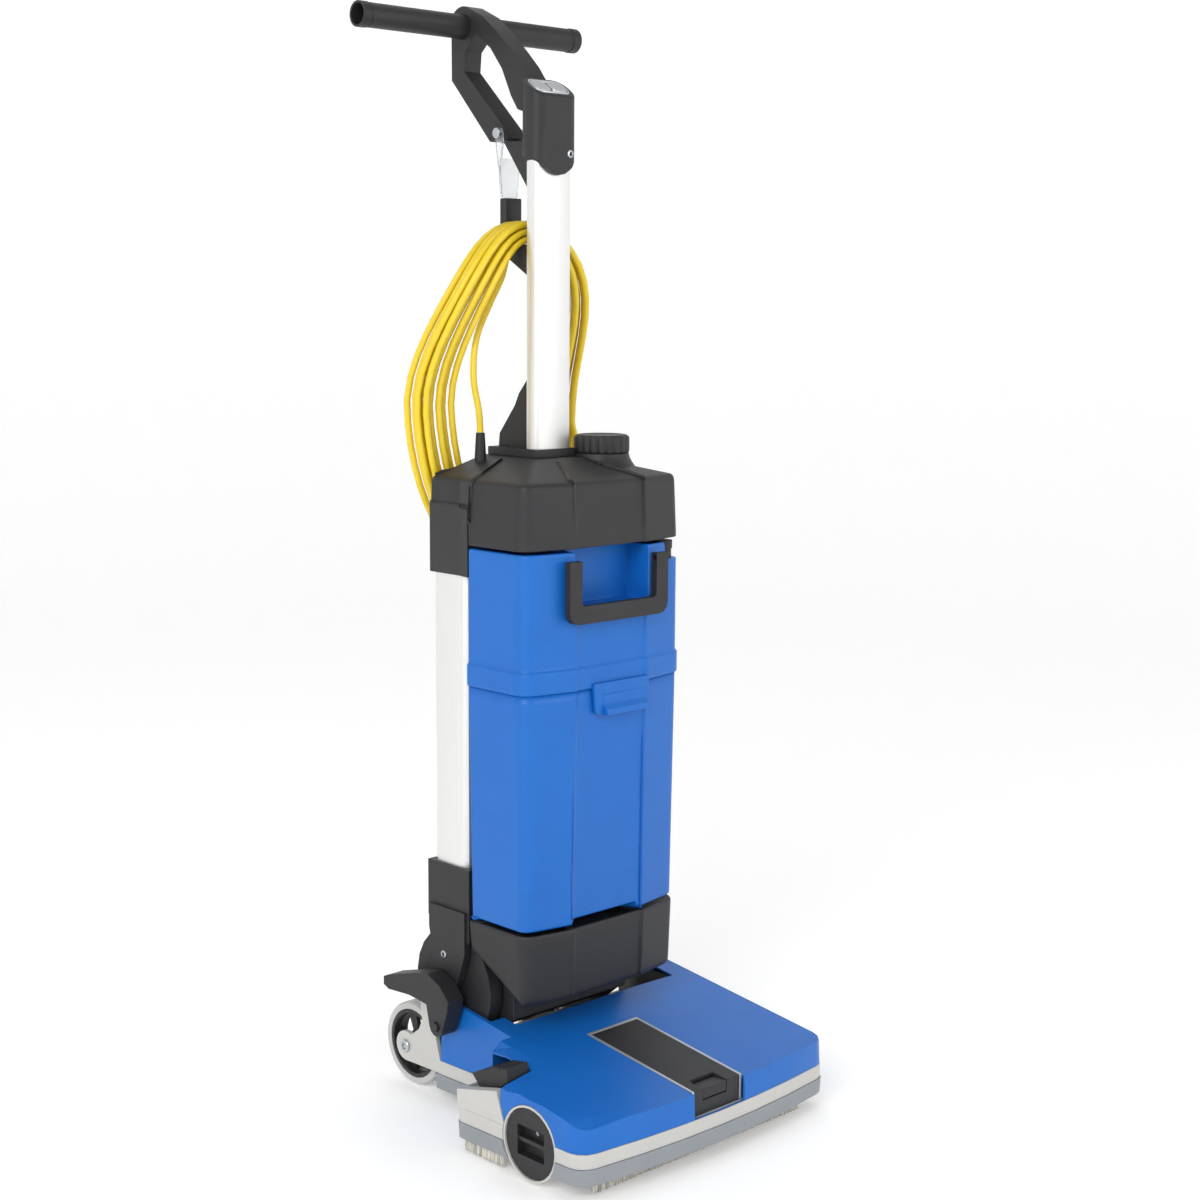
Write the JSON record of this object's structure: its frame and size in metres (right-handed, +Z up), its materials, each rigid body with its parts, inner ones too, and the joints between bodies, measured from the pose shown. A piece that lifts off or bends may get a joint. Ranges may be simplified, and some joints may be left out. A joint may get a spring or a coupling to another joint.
{
  "type": "floor scrubber",
  "caption": "Upright floor scrubber with a wide brush deck on rear wheels, two stacked tanks, a mast with a cross handle, and a mains cord looped on a hook.",
  "frame": {"origin": "on the floor under the middle of the machine, midway between its sides and near the middle of its length", "axes": "+Z up; -Y is the front, where the brush deck is; +X is the machine's right as seen from the front looking along +Y"},
  "size_m": [0.3584, 0.4082, 1.146],
  "materials": {
    "blue_plastic": "moulded, satin",
    "black_plastic": "moulded, fine grain",
    "light_grey_plastic": "moulded, satin",
    "mid_grey_plastic": "moulded, satin",
    "anodised_aluminium": "satin anodised",
    "zinc_steel": "zinc plated",
    "silver_trim": "satin metallised",
    "black_rubber": "matt",
    "grey_rubber": "matt",
    "yellow_cord": "satin PVC",
    "nylon_bristle": "bristle",
    "clear_plastic": "clear moulding"
  },
  "bodies": {
    "chassis": {"chassis_tray": "light_grey_plastic", "skirt_bumper": "mid_grey_plastic", "deck_shell": "blue_plastic", "duct_trim": "silver_trim", "brush_tunnel": "mid_grey_plastic", "end_cap_ring": "light_grey_plastic", "brush_motor": "zinc_steel", "drive_belt": "black_rubber", "curtain_front": "nylon_bristle", "curtain_left": "nylon_bristle", "axle": "zinc_steel", "pivot_bracket_left": "black_plastic", "pivot_bracket_right": "black_plastic", "pivot_shaft": "zinc_steel"},
    "duct_door": {"duct_cover": "black_plastic"},
    "duct_catch": {"duct_latch": "black_plastic"},
    "brush": {"brush_core": "black_plastic", "brush_bristles": "nylon_bristle", "brush_pulley": "black_plastic"},
    "motor_wheel": {"motor_pulley": "zinc_steel"},
    "end_cap": {"brush_end_cap": "black_plastic"},
    "squeegee": {"squeegee_holder": "black_plastic", "squeegee_blade": "black_rubber"},
    "lift_lever": {"squeegee_lever": "black_plastic"},
    "pedal": {"recline_pedal": "black_plastic"},
    "wheel_left": {"wheel_tyre_left": "grey_rubber", "wheel_hub_left": "black_plastic"},
    "wheel_right": {"wheel_tyre_right": "grey_rubber", "wheel_hub_right": "black_plastic"},
    "upright": {"pivot_yoke": "black_plastic", "base_housing": "black_plastic", "column_clamp": "black_plastic", "rear_column": "anodised_aluminium", "rear_housing": "black_plastic", "top_cover": "black_plastic", "vacuum_motor": "zinc_steel", "mast": "anodised_aluminium", "lower_hook": "black_plastic", "handle_spine": "black_plastic", "upper_hook": "black_plastic", "cross_bolt": "zinc_steel", "handle_loop": "black_plastic", "handlebar": "black_plastic", "head": "black_plastic", "switch_bezel": "silver_trim", "cord_gland": "black_plastic", "cord_coil": "yellow_cord", "cord_lead": "yellow_cord", "cord_tail": "yellow_cord", "cord_plug": "black_plastic"},
    "filler_cap": {"solution_cap": "black_plastic"},
    "fan": {"vacuum_fan": "anodised_aluminium"},
    "lower_tank": {"solution_tank": "blue_plastic"},
    "upper_tank": {"recovery_tank": "blue_plastic"},
    "bail": {"carry_handle": "black_plastic"},
    "tank_catch": {"tank_latch": "blue_plastic"},
    "drain_cap": {"spout_cap": "black_plastic"},
    "keeper": {"hook_gate": "clear_plastic"},
    "switch_left": {"rocker_left": "silver_trim"},
    "switch_right": {"rocker_right": "silver_trim"}
  },
  "joints": [
    {"name": "upright_recline", "type": "hinge", "parent": "chassis", "child": "upright", "pos_m": [0, 0.088, 0.13], "axis": [-1, 0, 0], "range_deg": [0, 62]},
    {"name": "wheel_left_roll", "type": "hinge", "parent": "chassis", "child": "wheel_left", "pos_m": [-0.0905, 0.156, 0.0455], "axis": [1, 0, 0], "continuous": true},
    {"name": "wheel_right_roll", "type": "hinge", "parent": "chassis", "child": "wheel_right", "pos_m": [0.0905, 0.156, 0.0455], "axis": [1, 0, 0], "continuous": true},
    {"name": "brush_spin", "type": "hinge", "parent": "chassis", "child": "brush", "pos_m": [0, -0.118, 0.0405], "axis": [1, 0, 0], "continuous": true},
    {"name": "motor_spin", "type": "hinge", "parent": "chassis", "child": "motor_wheel", "pos_m": [0, -0.034, 0.0705], "axis": [1, 0, 0], "continuous": true},
    {"name": "end_cap_pull", "type": "slide", "parent": "chassis", "child": "end_cap", "axis": [-1, 0, 0], "range_m": [0, 0.02]},
    {"name": "duct_cover_lift", "type": "hinge", "parent": "chassis", "child": "duct_door", "pos_m": [0, -0.0534, 0.096], "axis": [-1, 0, 0], "range_deg": [0, 60]},
    {"name": "duct_latch_pull", "type": "hinge", "parent": "duct_door", "child": "duct_catch", "pos_m": [0, -0.1968, 0.068], "axis": [1, 0, 0], "range_deg": [0, 20], "stiffness_Nm_per_rad": 0.05, "springref_deg": -17.19},
    {"name": "recline_pedal_press", "type": "hinge", "parent": "chassis", "child": "pedal", "pos_m": [-0.1215, 0.078, 0.0935], "axis": [-1, 0, 0], "range_deg": [0, 12], "stiffness_Nm_per_rad": 0.5, "springref_deg": -14.32},
    {"name": "squeegee_lever_turn", "type": "hinge", "parent": "chassis", "child": "lift_lever", "pos_m": [-0.15, -0.04, 0.0685], "axis": [-1, 0, 0], "range_deg": [0, 20]},
    {"name": "squeegee_raise", "type": "slide", "parent": "chassis", "child": "squeegee", "axis": [0, 0, 1], "range_m": [0, 0.006]},
    {"name": "filler_cap_turn", "type": "hinge", "parent": "upright", "child": "filler_cap", "pos_m": [0.055, 0.028, 0.69], "axis": [0, 0, 1], "range_deg": [0, 360]},
    {"name": "fan_spin", "type": "hinge", "parent": "upright", "child": "fan", "pos_m": [-0.052, -0.002, 0.612], "axis": [0, 0, 1], "continuous": true},
    {"name": "lower_tank_slide", "type": "slide", "parent": "upright", "child": "lower_tank", "axis": [0, -1, 0], "range_m": [0, 0.15]},
    {"name": "upper_tank_slide", "type": "slide", "parent": "lower_tank", "child": "upper_tank", "axis": [0, -1, 0], "range_m": [0, 0.15]},
    {"name": "carry_handle_swing", "type": "hinge", "parent": "upper_tank", "child": "bail", "pos_m": [0, -0.0535, 0.584], "axis": [-1, 0, 0], "range_deg": [0, 100]},
    {"name": "tank_latch_pull", "type": "hinge", "parent": "upper_tank", "child": "tank_catch", "pos_m": [0.014, -0.0497, 0.448], "axis": [-1, 0, 0], "range_deg": [0, 25], "stiffness_Nm_per_rad": 0.05, "springref_deg": -17.19},
    {"name": "drain_cap_turn", "type": "hinge", "parent": "upper_tank", "child": "drain_cap", "pos_m": [0.0945, -0.0235, 0.588], "axis": [0, 0, 1], "range_deg": [0, 180]},
    {"name": "hook_gate_swing", "type": "hinge", "parent": "upright", "child": "keeper", "pos_m": [0, 0.112, 1.0135], "axis": [1, 0, 0], "range_deg": [0, 75]},
    {"name": "rocker_left_tip", "type": "hinge", "parent": "upright", "child": "switch_left", "pos_m": [-0.011, 0.05125, 1.0545], "axis": [1, 0, 0], "range_deg": [-6, 6]},
    {"name": "rocker_right_tip", "type": "hinge", "parent": "upright", "child": "switch_right", "pos_m": [0.011, 0.05125, 1.0545], "axis": [1, 0, 0], "range_deg": [-6, 6]}
  ],
  "couplings": [
    {"joint": "motor_spin", "follows": "brush_spin", "ratio": 2.04},
    {"joint": "squeegee_raise", "follows": "squeegee_lever_turn", "m_per_rad": 0.01718}
  ]
}
